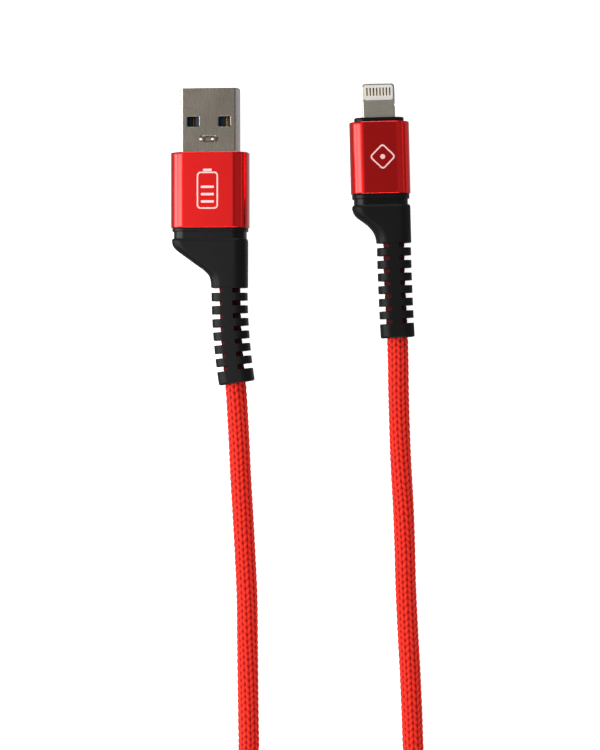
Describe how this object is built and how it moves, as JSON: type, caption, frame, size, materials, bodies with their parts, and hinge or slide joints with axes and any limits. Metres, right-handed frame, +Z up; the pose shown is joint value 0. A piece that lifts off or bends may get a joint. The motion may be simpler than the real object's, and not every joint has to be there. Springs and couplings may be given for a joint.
{
  "type": "charging cable",
  "caption": "Braided charging cable with a type-A plug at one end and a reversible phone plug at the other, metal housings and slotted rubber strain reliefs.",
  "frame": {"origin": "centre of the two plugs and their boots, on the surface that the cable lies on", "axes": "+Y from the cord towards the plugs' tips, +Z up from the surface, +X from the type-A plug to the phone plug"},
  "size_m": [0.068, 0.2107, 0.0102],
  "materials": {
    "shell_steel": "tin-plated stamped steel, satin",
    "tongue_blue": "moulded nylon, dark blue",
    "contact_gold": "gold flash over spring brass",
    "mould_ivory": "moulded polyethylene",
    "housing_red": "bead-blasted and anodised red",
    "collar_black": "moulded ABS, satin",
    "boot_rubber": "moulded thermoplastic rubber, fine matt texture",
    "ferrule_steel": "rolled and crimped",
    "jacket_white": "extruded vinyl",
    "wire_red": "extruded vinyl insulation",
    "wire_white": "extruded vinyl insulation",
    "wire_green": "extruded vinyl insulation",
    "wire_black": "extruded vinyl insulation",
    "tab_nickel": "blasted and nickel-plated, satin",
    "block_white": "moulded white resin",
    "board_green": "glass-fibre laminate with green solder resist",
    "chip_black": "moulded epoxy package",
    "can_tin": "tin-plated steel sheet",
    "capacitor_tan": "fired ceramic",
    "braid_red": "braided polyester yarn",
    "tie_black": "woven hook and loop strap"
  },
  "bodies": {
    "root": {"type_a_shell": "shell_steel", "type_a_tongue": "tongue_blue", "type_a_contacts": "contact_gold", "type_a_inner_mould": "mould_ivory", "type_a_housing": "housing_red", "type_a_rear_collar": "collar_black", "type_a_boot": "boot_rubber", "type_a_crimp": "ferrule_steel", "type_a_inner_jacket": "jacket_white", "type_a_wire_red": "wire_red", "type_a_wire_white": "wire_white", "type_a_wire_green": "wire_green", "type_a_wire_black": "wire_black", "phone_tab_frame": "tab_nickel", "phone_contact_block": "block_white", "phone_contacts": "contact_gold", "phone_board": "board_green", "phone_chip": "chip_black", "phone_shield_can": "can_tin", "phone_capacitors": "capacitor_tan", "phone_inner_mould": "mould_ivory", "phone_front_collar": "collar_black", "phone_housing": "housing_red", "phone_rear_collar": "collar_black", "phone_boot": "boot_rubber", "phone_crimp": "ferrule_steel", "phone_inner_jacket": "jacket_white", "phone_wire_red": "wire_red", "phone_wire_white": "wire_white", "phone_wire_green": "wire_green", "phone_wire_black": "wire_black", "cord_type_a_side": "braid_red", "cord_phone_side": "braid_red", "cord_coil": "braid_red", "coil_tie": "tie_black"}
  },
  "joints": []
}
